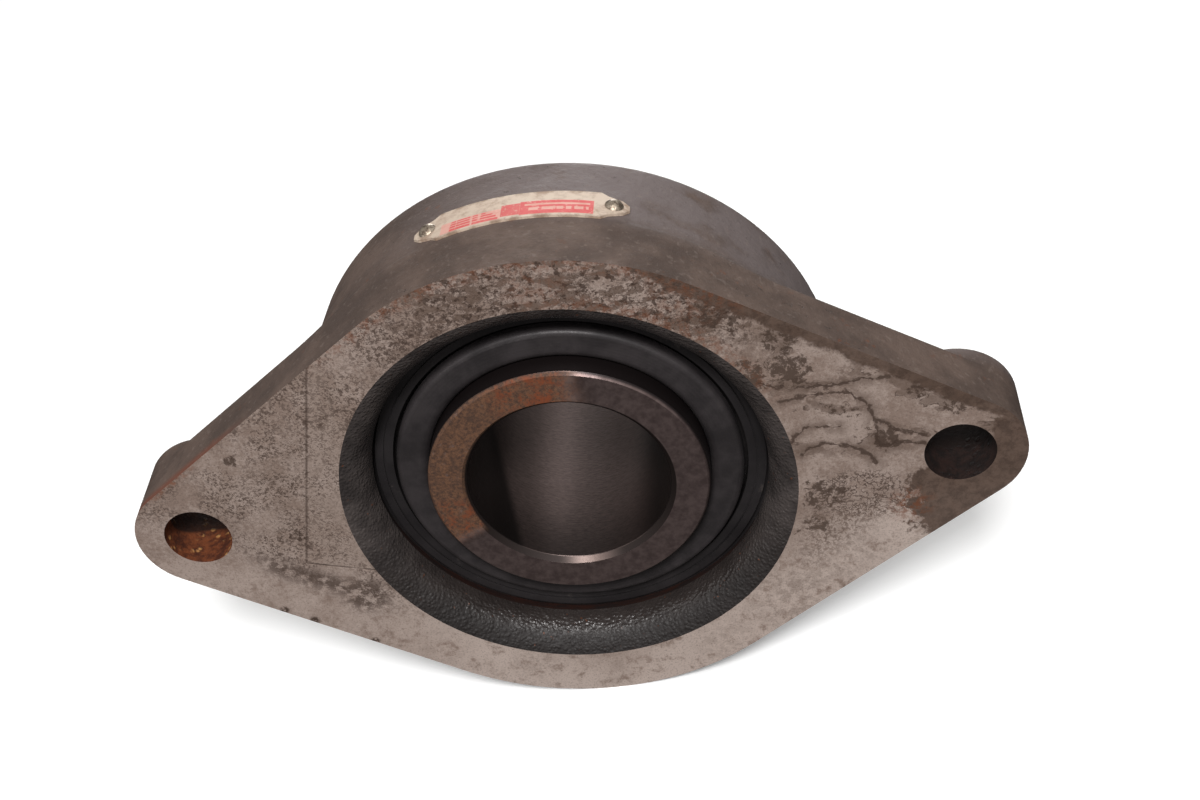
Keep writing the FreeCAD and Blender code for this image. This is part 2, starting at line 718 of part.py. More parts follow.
def make_flinger(label, end):
    """A pressed disc on the inner ring whose rim turns inside the outer ring."""
    outer_bend = flinger_bend + flinger_sheet
    hub_outer = collar_radius + flinger_sheet
    bend_at = flinger_face - outer_bend
    rim_bend = flinger_sheet * 1.5
    rim_inner = flinger_radius - flinger_sheet
    inner_face = flinger_face - flinger_sheet
    return make_ring(label, end, [
        (collar_radius, flinger_hub), (collar_radius, bend_at),
        (collar_radius + outer_bend, flinger_face), (flinger_radius - rim_bend, flinger_face),
        (flinger_radius, flinger_face - rim_bend), (flinger_radius, flinger_rim),
        (rim_inner, flinger_rim), (rim_inner, flinger_face - rim_bend),
        (flinger_radius - rim_bend, inner_face), (collar_radius + outer_bend, inner_face),
        (hub_outer, bend_at), (hub_outer, flinger_hub)],
        {1: (outer_bend, 1), 3: (rim_bend, 1), 7: (rim_bend - flinger_sheet, -1),
         9: (flinger_bend, -1)})


# ---------------------------------------------------------------- pin and grease fitting

def make_locking_pin():
    """A round pin through the bottom of the barrel that keeps the outer ring from turning."""
    body = new_body("locking_pin")
    blunt = pin_radius - pin_bevel
    turned(body, [(0, pin_tip_at), (blunt, pin_tip_at), (pin_radius, pin_tip_at + pin_bevel),
                  (pin_radius, pin_head_at - pin_bevel), (blunt, pin_head_at),
                  (0, pin_head_at)])
    body.Placement = moved(0, sphere_centre.value, 0, FreeCAD.Rotation(V(1, 0, 0), -90))
    return body


def fitting_placement():
    along = (sphere_centre + grease_plane).value
    return moved(-fitting_seat_at.value, along, 0, FreeCAD.Rotation(V(0, 0, 1), 90))


def fitting_tip():
    """Height of the fitting's tip above its seat on the barrel."""
    return fitting_hex_high + fitting_nose_long


def check_centre():
    """Height of the check ball's centre, just short of the cone behind the fitting's mouth."""
    mouth = fitting_tip() - fitting_mouth_deep
    return mouth + mouth_of_fitting - (check_radius + check_gap) * math.sqrt(2)


def make_grease_fitting():
    """A straight grease nipple: threaded shank, hexagon, waisted nose and a stepped bore."""
    body = new_body("grease_fitting")
    tip = fitting_tip()
    turned(body, [(0, -fitting_thread_long),
                  (fitting_thread_radius - fitting_thread_bevel, -fitting_thread_long),
                  (fitting_thread_radius, -fitting_thread_long + fitting_thread_bevel),
                  (fitting_thread_radius, 0), (fitting_hex / 2, 0),
                  (fitting_hex / 2, fitting_hex_high), (fitting_neck_radius, fitting_hex_high),
                  (fitting_neck_radius, tip - fitting_neck_end),
                  (fitting_head_radius, tip - fitting_head_start),
                  (fitting_head_radius, tip - fitting_head_end),
                  (fitting_head_radius / 2, tip), (0, tip)])
    sketch = new_sketch(body, "XZ_Plane")
    draw_hexagon(sketch, fitting_hex)
    raised(body, sketch, fitting_hex_high, backwards=True)
    # The stepped bore: mouth, 45 degree cone for the ball, wide stretch for the spring, way out.
    mouth = tip - fitting_mouth_deep
    bore = check_radius + check_play
    cone_end = mouth - (bore - mouth_of_fitting)
    way_out = -fitting_thread_long - overcut
    turned(body, [(0, tip + overcut), (mouth_of_fitting, tip + overcut), (mouth_of_fitting, mouth),
                  (bore, cone_end), (bore, spring_stop), (mouth_of_fitting, spring_stop),
                  (mouth_of_fitting, way_out), (0, way_out)], cut=True)
    body.Placement = fitting_placement()
    return body


def make_check_ball():
    return sphere_body("grease_check_ball", check_radius,
                       fitting_placement() * moved(0, check_centre().value, 0))


def make_grease_spring():
    """A round-wire helix between the ball and the shoulder in the fitting's bore."""
    mean = check_radius.value - spring_wire.value / 2
    low = spring_stop.value + spring_wire.value * 0.6
    below_centre = math.sqrt(check_radius.value ** 2 - mean ** 2) + spring_wire.value
    top = check_centre().value - below_centre
    pitch = (top - low) / spring_turns.value
    path = Part.Wire(Part.makeHelix(pitch, top - low, mean).Edges)
    start, along = V(mean, 0, 0), V(0, 2 * math.pi * mean, pitch)
    section = Part.Wire(Part.makeCircle(spring_wire.value / 2, start, along))
    coil = path.makePipeShell([section], True, True)
    upright = FreeCAD.Placement(V(0, low, 0), FreeCAD.Rotation(V(1, 0, 0), -90))
    spring = doc.addObject("Part::Feature", "grease_spring")
    spring.Shape = coil
    spring.Placement = fitting_placement() * upright
    return spring


# ---------------------------------------------------------------- the whole object

def make_everything():
    parts = [make_housing(), make_name_plate(), make_drive_screw("drive_screw_left", -1),
             make_drive_screw("drive_screw_right", 1), make_locking_pin(),
             make_grease_fitting(), make_check_ball(), make_grease_spring(),
             make_outer_ring(), make_inner_ring()]
    for number, angle in enumerate(set_screw_angles):
        parts.append(make_set_screw("set_screw_%d" % (number + 1), angle))
    for name, end in (("rear", -1), ("front", 1)):
        parts.append(make_seal_shell("seal_shell_" + name, end))
        parts.append(make_seal_lip("seal_lip_" + name, end))
        parts.append(make_flinger("flinger_" + name, end))
        parts.append(make_cage_half("cage_" + name, end))
    parts.append(make_cage_rivets())
    count = int(ball_count.value)
    for number in range(count):
        parts.append(make_ball("ball_%d" % (number + 1), number * 360 / count))
    return parts


def check_everything(parts):
    doc.recompute()
    for item in doc.Objects:
        if "Invalid" in item.State or "Error" in item.State:
            raise RuntimeError(item.Name + " failed: " + str(item.State))
    for part in parts:
        if part.Shape.isNull() or not part.Shape.isValid():
            raise RuntimeError(part.Label + " has no valid shape")


all_parts = make_everything()
check_everything(all_parts)
os.makedirs("parts", exist_ok=True)
for part in all_parts:
    part.Shape.exportStep("parts/" + part.Label + ".step")
    print(part.Label, "%d solid(s), %.2f mm3" % (len(part.Shape.Solids), part.Shape.Volume))
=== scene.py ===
"""Looks of the two-bolt flange mount bearing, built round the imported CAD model.

Everything is in metres in the shared frame: X along the bolts, Y along the shaft from the mounting face,
Z up. The CAD parts keep their shapes. This script gives them their materials, makes the grease valve's
spring as a piece that can shorten, and adds the floor, lights and camera.
Material patterns are laid out in millimetres of the same frame, so each stain and scratch has a real size.
"""

import json
import math

import bpy
from mathutils import Matrix, Vector


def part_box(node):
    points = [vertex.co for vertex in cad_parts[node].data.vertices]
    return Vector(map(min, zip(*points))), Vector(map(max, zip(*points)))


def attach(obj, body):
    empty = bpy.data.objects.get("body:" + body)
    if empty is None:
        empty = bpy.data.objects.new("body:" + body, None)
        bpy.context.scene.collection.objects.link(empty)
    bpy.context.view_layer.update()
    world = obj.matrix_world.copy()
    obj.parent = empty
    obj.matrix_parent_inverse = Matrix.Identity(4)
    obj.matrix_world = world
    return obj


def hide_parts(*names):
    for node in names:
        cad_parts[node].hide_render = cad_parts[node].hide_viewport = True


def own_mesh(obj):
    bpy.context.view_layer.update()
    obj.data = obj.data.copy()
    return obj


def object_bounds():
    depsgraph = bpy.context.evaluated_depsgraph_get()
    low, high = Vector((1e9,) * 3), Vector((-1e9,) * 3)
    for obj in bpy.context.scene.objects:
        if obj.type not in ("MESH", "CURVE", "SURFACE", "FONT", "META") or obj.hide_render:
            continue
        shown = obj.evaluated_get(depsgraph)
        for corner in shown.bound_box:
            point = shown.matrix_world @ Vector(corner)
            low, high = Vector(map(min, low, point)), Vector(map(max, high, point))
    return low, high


MM = 0.001

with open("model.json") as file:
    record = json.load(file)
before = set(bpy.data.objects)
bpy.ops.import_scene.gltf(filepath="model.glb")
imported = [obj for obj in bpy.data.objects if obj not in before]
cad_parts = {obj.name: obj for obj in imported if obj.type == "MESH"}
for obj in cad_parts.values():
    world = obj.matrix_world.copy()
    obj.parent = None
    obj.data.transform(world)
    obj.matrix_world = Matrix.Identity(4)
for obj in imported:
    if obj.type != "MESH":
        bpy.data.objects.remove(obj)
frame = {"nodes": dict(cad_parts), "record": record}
cad_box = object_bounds()
nodes = frame["nodes"]
mounts = {mount["name"]: mount for mount in frame["record"]["mounts"]}

# Places and sizes that the patterns need, in millimetres, read from the frame.
housing_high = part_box("housing")[1] / MM
outer_low, outer_high = (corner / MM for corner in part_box("outer_ring"))
inner_low, inner_high = (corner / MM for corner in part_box("inner_ring"))
bolt_x = mounts["bolts"]["dims"]["spacing_x_mm"] / 2
bolt_radius = mounts["bolts"]["dims"]["hole_r_mm"]
bore_radius = mounts["shaft_bore"]["dims"]["r_mm"]
sphere_y = (outer_low.y + outer_high.y) / 2
sphere_radius = outer_high.x
collar_radius = inner_high.x
hull_radius = housing_high.z
ear_radius = housing_high.x - bolt_x

# The direction square to the flange's straight edges, which run from the middle's circle to the ears'.
edge_x = (hull_radius - ear_radius) / bolt_x
edge_z = math.sqrt(1 - edge_x ** 2)


# Marks on the mounting face, given one by one in millimetres.

# Tide lines, as points (x, z) joined by straight stretches.
TIDE_LINES = (
    ((42, 7), (45, 10), (48, 9.5), (51, 9)),
    ((43.5, 3.5), (45.5, 5), (48, 5.6), (52.4, 4.4), (55.8, 1.7), (56.7, -0.5)),
    ((53, 17), (56, 14), (57.3, 10), (57.3, 4.5), (59, 3.3), (61, 4), (65.5, 3.2)),
    ((57.3, 10), (61.5, 6.8), (65.8, 5)),
    ((38, 21), (43, 19), (48, 18.7), (57, 19.2), (60.5, 18.9)),
    ((41, 16.5), (46.5, 17.1), (53.5, 16.7)),
    ((64.5, 16), (67, 15.2), (69.5, 15.6)),
)

# Dark smudges, each with its place (x, z), its radius and how strong it is.
SMUDGES = (
    (47, -6, 5.5, 0.9), (43, 30.5, 4.6, 0.9), (36.5, 22.5, 4.6, 0.95), (43.5, 23.5, 4.4, 1.0),
    (72, 12, 3.6, 0.9), (44.5, -13.7, 2.8, 0.9), (34, 38, 6.5, 0.9), (59.3, 5.0, 3.0, 1.1),
    (-53, -2.3, 2.6, 0.9), (-60, 17.5, 1.8, 1.0), (66, 16, 3.6, 0.85), (52, 13, 5.0, 0.7),
    (41, -16, 2.2, 0.7),
)

# Soft brown stains, in the same form.
STAINS = (
    (38, -31, 9.0, 0.9), (-15, -43.6, 4.0, 0.9), (24, -42, 6.0, 0.6), (-32, -36, 5.0, 0.5),
    (3, -46, 3.0, 0.5), (48, -22, 8.0, 0.8), (-48, 8, 12.0, 0.4), (-62, 2, 6.0, 0.4),
)

# The print of a plate on the face: its lean in degrees, and its corner's place in the leaning frame.
PRINT_ANGLE = 16
PRINT_ACROSS = 48.4
PRINT_UP = 23.9

# Any distance beyond the object's size, to start a search for the nearest.
FAR = 1000.0


def colour(red, green, blue):
    """A display colour, 0 to 255 in each channel, as the linear colour that shaders use."""
    def linear(value):
        value /= 255
        return value / 12.92 if value <= 0.04045 else ((value + 0.055) / 1.055) ** 2.4

    return (linear(red), linear(green), linear(blue), 1.0)


class Look:
    """A material being built. Most methods add nodes and return the socket with their result."""

    def __init__(self, name, **constants):
        self.material = bpy.data.materials.new(name)
        self.material.use_nodes = True
        self.tree = self.material.node_tree
        self.shader = self.tree.nodes["Principled BSDF"]
        for socket, value in constants.items():
            self.shader.inputs[socket.replace("_", " ")].default_value = value
        metres = self.add("ShaderNodeTexCoord").outputs["Object"]
        self.place = self.vector("SCALE", metres, 1 / MM)
        self.x, self.y, self.z = self.add("ShaderNodeSeparateXYZ", {0: self.place}).outputs
        self.base = None
        self.relief = None

    def add(self, kind, inputs=None, **settings):
        """Adds a node of a kind with its settings, and feeds its inputs."""
        node = self.tree.nodes.new(kind)
        for name, value in settings.items():
            setattr(node, name, value)
        for name, value in (inputs or {}).items():
            self.feed(node.inputs[name], value)
        return node

    def feed(self, socket, value):
        """Links a socket to another node's output, or sets it to a plain value."""
        if isinstance(value, bpy.types.NodeSocket):
            self.tree.links.new(value, socket)
        else:
            socket.default_value = value

    def math(self, operation, first, second=0.0, clamp=False):
        inputs = {0: first, 1: second}
        return self.add("ShaderNodeMath", inputs, operation=operation, use_clamp=clamp).outputs[0]

    def vector(self, operation, first, second):
        """Vector arithmetic. For SCALE the second value is a plain factor."""
        other = "Scale" if operation == "SCALE" else 1
        node = self.add("ShaderNodeVectorMath", {0: first, other: second}, operation=operation)
        return node.outputs["Value" if operation in ("DOT_PRODUCT", "DISTANCE") else "Vector"]

    def total(self, first, *others):
        for other in others:
            first = self.math("ADD", first, other)
        return first

    def product(self, first, *others):
        for other in others:
            first = self.math("MULTIPLY", first, other)
        return first

    def most(self, first, *others):
        for other in others:
            first = self.math("MAXIMUM", first, other)
        return first

    def rest_of(self, share):
        """What a share leaves of 1."""
        return self.math("SUBTRACT", 1.0, share)

    def size_of(self, value):
        """A value without its sign."""
        return self.math("ABSOLUTE", value)

    def band(self, value, low, high, start=0.0, end=1.0):
        """Goes smoothly from start to end as value goes from low to high."""
        inputs = {0: value, 1: low, 2: high, 3: start, 4: end}
        return self.add("ShaderNodeMapRange", inputs, interpolation_type="SMOOTHSTEP").outputs[0]

    def near(self, value, target, width):
        """1 where value is target, fading to 0 at width away from it."""
        return self.band(self.size_of(self.math("SUBTRACT", value, target)), 0, width, 1, 0)

    def stretched(self, along_x, along_y, along_z):
        """The place with each axis scaled, to draw a pattern out along the axes with small factors."""
        return self.vector("MULTIPLY", self.place, (along_x, along_y, along_z))

    def noise(self, size, detail=3.0, roughness=0.55, distortion=0.0, shift=0.0, place=None):
        """Cloudy noise, about 0.5 in the middle, whose lumps are size millimetres."""
        where = place or self.place
        if shift:
            where = self.vector("ADD", where, (shift, shift * 0.7, -shift * 1.3))
        inputs = {"Vector": where, "Scale": 1 / size, "Detail": detail}
        inputs.update({"Roughness": roughness, "Distortion": distortion})
        return self.add("ShaderNodeTexNoise", inputs).outputs[0]

    def cells(self, size):
        """Distance to the nearest of scattered points that are size millimetres apart."""
        return self.add("ShaderNodeTexVoronoi", {"Vector": self.place, "Scale": 1 / size}).outputs["Distance"]

    def mix(self, share, first, second):
        """The first colour where share is 0, going to the second where it is 1."""
        node = self.add("ShaderNodeMix", data_type="RGBA")
        self.feed(node.inputs[0], share)
        self.feed(node.inputs[6], first)
        self.feed(node.inputs[7], second)
        return node.outputs[2]

    def radius(self, centre_x=0.0, centre_z=0.0):
        """Distance from a line along Y through the given point."""
        offset_x = self.math("SUBTRACT", self.x, centre_x)
        offset_z = self.math("SUBTRACT", self.z, centre_z)
        squares = self.total(self.product(offset_x, offset_x), self.product(offset_z, offset_z))
        return self.math("SQRT", squares)

    def spot(self, x, z, radius, soft=0.5):
        """1 within radius of a point of the face, fading out over a share of it."""
        return self.band(self.radius(x, z), radius * (1 - soft), radius * (1 + soft), 1, 0)

    def spots(self, places):
        """The strongest of several spots, each given by its x, z, radius and weight."""
        strongest = 0.0
        for x, z, size, weight in places:
            strongest = self.most(strongest, self.product(self.spot(x, z, size, 0.6), weight))
        return strongest

    def strokes(self, lines, wander, wander_size):
        """Distance in millimetres to the nearest of several bent lines drawn on the face."""
        inputs = {"Vector": self.place, "Scale": 1 / wander_size, "Detail": 3.0}
        drift = self.add("ShaderNodeTexNoise", inputs).outputs["Color"]
        centred = self.vector("SUBTRACT", drift, (0.5, 0.5, 0.5))
        bent = self.vector("ADD", self.vector("SCALE", centred, wander), self.place)
        flat = self.vector("MULTIPLY", bent, (1, 0, 1))
        nearest = FAR
        for line in lines:
            for (start_x, start_z), (end_x, end_z) in zip(line, line[1:]):
                run = Vector((end_x - start_x, 0, end_z - start_z))
                offset = self.vector("SUBTRACT", flat, (start_x, 0, start_z))
                along = self.vector("DOT_PRODUCT", offset, run)
                share = self.math("MULTIPLY", along, 1 / run.length_squared, clamp=True)
                foot = self.vector("SCALE", run, share)
                nearest = self.math("MINIMUM", self.vector("DISTANCE", offset, foot), nearest)
        return nearest

    def paint(self, share, tone):
        """Lays a colour over the material, from none of it where share is 0 to all of it where it is 1."""
        self.base = self.mix(share, self.base, tone)

    def raise_by(self, pattern, height):
        """Adds a pattern to the surface's relief, height millimetres high where the pattern is 1."""
        amount = self.product(pattern, height)
        self.relief = amount if self.relief is None else self.total(self.relief, amount)

    def finish(self, roughness):
        """Joins colour, roughness and relief to the shader, and returns the material."""
        self.feed(self.shader.inputs["Base Color"], self.base)
        self.feed(self.shader.inputs["Roughness"], roughness)
        if self.relief is not None:
            bump = self.add("ShaderNodeBump", {"Height": self.relief, "Strength": 1.0, "Distance": MM})
            self.feed(self.shader.inputs["Normal"], bump.outputs[0])
        return self.material


class FaceLook(Look):
    """The mounting face: worn grey-brown metal. Each method lays on one kind of mark."""

    DARK = colour(82, 66, 58)
    UMBER = colour(104, 85, 74)

    def __init__(self):
        super().__init__("machined_face", Metallic=0.3)
        self.clouds = self.noise(16, detail=5, roughness=0.62)
        self.grain = self.noise(0.8, detail=3, roughness=0.75)
        self.patchy = self.noise(3.0, detail=4, roughness=0.7, shift=67)
        self.smudge = self.noise(1.9, detail=6, roughness=0.76, distortion=0.3, shift=29)
        self.mouth = self.radius()
        # How far below the middle a place is, square to the lower edges, which lie at hull_radius.
        self.below = self.total(self.size_of(self.product(self.x, edge_x)), self.product(self.z, -edge_z))
        tone = self.total(self.clouds, self.product(self.grain, 0.6), self.product(self.patchy, 0.5))
        self.base = self.mix(self.band(tone, 0.9, 1.22), colour(150, 130, 119), colour(184, 165, 155))
        self.raise_by(self.grain, 0.05)
        self.raise_by(self.noise(6, detail=2), 0.05)

    def inside_upper_edge(self, side):
        """How far inside the flange's upper edge a place is, with side -1 for left and 1 for right."""
        return self.total(self.product(self.x, -side * edge_x), self.product(self.z, -edge_z), hull_radius)

    def lighter_lower_strip(self):
        """The strip along the lower edge is painted lighter, and fine dust lies everywhere."""
        strip = self.product(self.band(self.below, 30, 46), self.band(self.z, -4, -14))
        strip = self.product(strip, self.band(self.x, -50, -20, 0.35, 1))
        self.paint(self.product(strip, self.band(self.patchy, 0.3, 0.5), 0.9), colour(210, 192, 182))
        dust = self.band(self.noise(0.42, detail=2, roughness=0.8, shift=99), 0.5, 0.68)
        self.paint(self.product(dust, 0.4), self.DARK)

    def specks(self):
        """Fine dark specks and some larger ones, thick on the left and across the top."""
        zone = self.most(self.band(self.x, -22, -44), self.product(self.band(self.z, 22, 40), 0.9))
        cloudy = self.band(self.noise(9, shift=9), 0.34, 0.56)
        zone = self.product(zone, self.band(self.below, 46, 36), cloudy)
        crowded = self.most(self.spot(-38, 26, 10, 0.5), self.spot(-24, 40, 9, 0.6))
        fine = self.band(self.noise(0.5, detail=2, roughness=0.75, shift=31), 0.49, 0.6)
        coarse = self.noise(1.15, detail=3, roughness=0.7, shift=21)
        large = self.band(self.total(coarse, self.product(crowded, 0.04)), 0.59, 0.64)
        specks = self.product(self.most(self.product(fine, 0.9), large), self.most(zone, crowded))
        self.paint(self.product(specks, 0.85), self.DARK)
        self.raise_by(specks, -0.03)
        stray = self.band(self.noise(0.9, detail=4, roughness=0.7, shift=77), 0.66, 0.7)
        self.paint(self.product(stray, 0.5), self.DARK)

    def mottling(self):
        """Mottling above the mouth, where oil was caught, in patches with darker rims and with pits."""
        zone = self.product(self.band(self.z, 24, 36), self.band(self.x, -34, -12), self.band(self.x, 58, 40))
        drawn_out = self.stretched(0.75, 1, 1.3)
        mottle = self.noise(3.0, detail=6, roughness=0.68, distortion=0.4, shift=17, place=drawn_out)
        self.paint(self.product(self.band(mottle, 0.5, 0.55), zone, 0.8), self.UMBER)
        self.paint(self.product(self.near(mottle, 0.515, 0.02), zone, 0.75), self.DARK)
        pits = self.band(self.noise(1.7, detail=4, roughness=0.72, shift=63), 0.53, 0.6)
        self.paint(self.product(pits, zone, 0.85), colour(70, 54, 46))

    def oil_films(self):
        """Faint patches of dried oil on the right, each with a thin broken rim."""
        right = self.product(self.band(self.x, 34, 46), self.band(self.z, -2, 6))
        drawn_out = self.stretched(0.75, 1, 1.4)
        tide = self.noise(8.5, detail=5, roughness=0.6, distortion=0.4, shift=53, place=drawn_out)
        self.paint(self.product(self.band(tide, 0.53, 0.58), right, 0.6), self.UMBER)
        broken = self.band(self.noise(3, shift=71), 0.44, 0.58)
        self.paint(self.product(self.near(tide, 0.545, 0.018), broken, right, 0.9), self.DARK)

    def tide_lines(self):
        """The longest tide lines, which wander a little and thicken here and there."""
        lines = self.strokes(TIDE_LINES, wander=2.2, wander_size=2.0)
        thick = self.band(self.noise(1.6, detail=3, shift=19), 0.36, 0.64, 0.1, 1.0)
        stroke = self.band(self.math("DIVIDE", lines, thick), 0.8, 0.3)
        stroke = self.product(stroke, self.band(self.grain, 0.3, 0.46))
        shading = self.product(self.band(lines, 2.6, 0.2), self.band(self.patchy, 0.4, 0.56))
        self.paint(self.product(shading, 0.65), self.UMBER)
        self.paint(self.product(stroke, 0.9), self.DARK)
        self.raise_by(stroke, -0.03)

    def smudges(self):
        """Soft stains, and dark smudges with ragged edges."""
        blotchy = self.band(self.total(self.smudge, self.patchy), 0.9, 1.15)
        self.paint(self.product(self.spots(STAINS), blotchy, 0.5), self.UMBER)
        ragged = self.total(self.smudge, self.product(self.spots(SMUDGES), 0.34))
        self.paint(self.product(self.band(ragged, 0.75, 0.83), 0.85), colour(76, 60, 51))

    def old_paint(self):
        """Old brown paint round the right-hand bolt hole and just inside the upper right edge."""
        upper_right = self.product(self.band(self.x, 8, 26), self.band(self.z, 2, 10))
        upper_right = self.product(upper_right, self.band(self.inside_upper_edge(1), 4.0, 0.6))
        lower_side = self.band(self.total(self.product(self.x, 0.35), self.product(self.z, -1)), 22, 28)
        round_hole = self.product(self.band(self.radius(bolt_x, 0), 24, 17), lower_side)
        end_zone = self.most(round_hole, self.spot(82.5, 3, 5.5, 0.4))
        wavy_x = self.total(self.x, self.product(self.patchy, 12))
        end_zone = self.product(end_zone, self.band(wavy_x, 65.5, 70.5))
        ragged = self.total(self.patchy, self.product(self.most(upper_right, end_zone), 0.6))
        brown = self.mix(self.band(self.smudge, 0.36, 0.64), colour(78, 61, 52), colour(106, 86, 75))
        self.paint(self.product(self.band(ragged, 0.68, 0.92), 0.92), brown)

    def worm_etching(self):
        """Worm-like etching in a band of the right-hand side, and a speckled field below it."""
        etched = self.size_of(self.math("SUBTRACT", self.noise(1.0, detail=2, shift=5), 0.5))
        sloping = self.total(self.z, self.product(self.x, 0.1))
        zone = self.product(self.near(self.x, 54, 14), self.near(sloping, -2, 9))
        zone = self.product(zone, self.band(self.noise(7, shift=83), 0.36, 0.5))
        worm = self.product(self.band(etched, 0.06, 0.01), self.band(zone, 0.1, 0.5))
        self.paint(self.product(worm, 0.85), self.DARK)
        field = self.product(self.band(self.x, 36, 46), self.band(self.z, -6, -12))
        field = self.product(field, self.band(self.below, 47, 40))
        self.paint(self.product(self.band(self.grain, 0.46, 0.58), field, 0.75), self.UMBER)

    def plate_print(self):
        """The print of a plate that once lay against the left side: two edges and a cleaner inside."""
        turn = math.radians(PRINT_ANGLE)
        lean, level = math.sin(turn), math.cos(turn)
        across = self.total(self.product(self.x, level), self.product(self.z, -lean), PRINT_ACROSS)
        upward = self.total(self.product(self.z, level), self.product(self.x, lean), PRINT_UP)
        left_edge = self.product(self.near(across, 0, 0.4), self.band(upward, -0.3, 0.2))
        lower_edge = self.product(self.near(upward, 0, 0.32), self.band(across, -0.3, 0.2))
        worn = self.band(self.noise(3, shift=11), 0.3, 0.55, 0.35, 1.0)
        line = self.product(self.most(left_edge, lower_edge), worn, self.band(self.x, -37, -40))
        self.paint(self.product(line, 0.75), self.DARK)
        self.raise_by(line, -0.08)
        inside = self.product(self.band(across, 0, 0.6), self.band(upward, 0, 0.6))
        inside = self.product(inside, self.band(self.x, -34, -40))
        self.paint(self.product(inside, self.band(self.patchy, 0.36, 0.6), 0.45), colour(160, 141, 130))

    def smear(self):
        """A long smear of dirt below the print, and chips along the lower left edge."""
        beside = self.total(self.z, self.product(self.x, 0.62), 46.5)
        smear = self.product(self.band(self.x, -66, -58), self.band(self.x, -38, -42))
        smear = self.most(self.product(self.near(beside, 0, 5.5), smear), self.spot(-44, -19.5, 4.6, 0.5))
        broken = self.band(self.noise(1.7, detail=5, roughness=0.78, shift=3), 0.4, 0.54)
        self.paint(self.product(smear, broken, 0.85), self.DARK)
        chips = self.most(self.spot(-61, -21.3, 0.9, 0.4), self.spot(-55.8, -25.0, 1.0, 0.4))
        chips = self.most(chips, self.spot(-45.4, -32.4, 0.9, 0.4))
        self.paint(self.product(chips, self.band(self.grain, 0.4, 0.5)), self.DARK)

    def rust(self):
        """A streak at the left end's upper edge, tints by the mouth and the top edge, and a few flecks."""
        patches = self.noise(1.6, detail=5, roughness=0.75, shift=41)
        by_mouth = self.product(self.band(self.mouth, 46.5, 43.5), self.band(self.z, 14, 26), 0.75)
        by_mouth = self.product(by_mouth, self.band(self.x, -4, 12))
        streak = self.product(self.band(self.x, -79, -77), self.band(self.x, -66, -69))
        streak = self.product(streak, self.band(self.inside_upper_edge(-1), 1.3, 0.5))
        flecks = self.product(self.most(self.spot(3, 47, 5, 0.6), self.spot(28, 41, 6, 0.6)), 0.5)
        top_edge = self.band(self.mouth, hull_radius - 3.2, hull_radius - 0.8)
        top_edge = self.product(top_edge, self.band(self.z, 34, 42), 0.8)
        tint = self.most(by_mouth, streak, self.spot(62.2, -11.2, 3.6, 0.6), flecks, top_edge)
        self.paint(self.product(tint, self.band(patches, 0.44, 0.6), 0.7), colour(126, 76, 50))


def machined_face():
    """The mounting face, with its marks laid on in the order in which they cover each other."""
    look = FaceLook()
    look.lighter_lower_strip()
    look.specks()
    look.mottling()
    look.oil_films()
    look.tide_lines()
    look.smudges()
    look.old_paint()
    look.worm_etching()
    look.plate_print()
    look.smear()
    look.rust()
    return look.finish(look.band(look.clouds, 0.3, 0.7, 0.62, 0.45))


def cast_surface():
    """The as-cast sides, flange and barrel: brown below, turning blue-grey on the barrel's right side."""
    look = Look("cast_surface", Metallic=0.25)
    clouds = look.noise(14, detail=5, roughness=0.6)
    look.base = look.mix(look.band(clouds, 0.35, 0.65), colour(78, 64, 57), colour(104, 87, 78))
    slate = look.product(look.band(look.y, 10, 18), look.band(look.total(look.x, look.z), 10, 62))
    slate = look.product(slate, look.band(look.noise(9, detail=4, shift=19), 0.25, 0.5))
    look.paint(slate, colour(113, 102, 100))

    # Fine dark grain, pale dust, and pits in patches.
    fine = look.noise(0.55, detail=3, roughness=0.7)
    look.paint(look.product(look.band(fine, 0.55, 0.72), 0.35), colour(60, 48, 43))
    dusty = look.band(look.noise(1.3, shift=7), 0.58, 0.7)
    look.paint(look.product(dusty, 0.25), colour(140, 126, 118))
    pits = look.band(look.noise(1.7, detail=4, roughness=0.72, shift=47), 0.63, 0.68)
    pits = look.product(pits, look.band(look.noise(17, shift=31), 0.42, 0.58))
    look.paint(look.product(pits, 0.6), colour(50, 38, 33))

    # Rust here and there, dust on the nose, and rust along the left ear's edge.
    rust = look.band(look.noise(3.4, detail=6, roughness=0.7, shift=61), 0.6, 0.7)
    rust = look.product(rust, look.band(look.noise(22, shift=13), 0.42, 0.6))
    look.paint(look.product(rust, 0.6), colour(112, 66, 42))
    nose_dust = look.band(look.noise(6, detail=5, roughness=0.7, shift=37), 0.4, 0.66)
    look.paint(look.product(look.band(look.y, 33, 35), nose_dust, 0.45), colour(132, 116, 106))
    edge_rust = look.product(look.band(look.x, -52, -66), look.band(look.z, 0, 6))
    look.paint(look.product(edge_rust, look.band(look.y, 3.0, 0.4), 0.7), colour(120, 66, 46))

    look.raise_by(look.noise(5, detail=2), 0.35)
    look.raise_by(look.noise(1.4, detail=3, roughness=0.6, shift=23), 0.16)
    look.raise_by(fine, 0.06)
    look.raise_by(pits, -0.1)
    return look.finish(look.band(clouds, 0.3, 0.7, 0.72, 0.55))


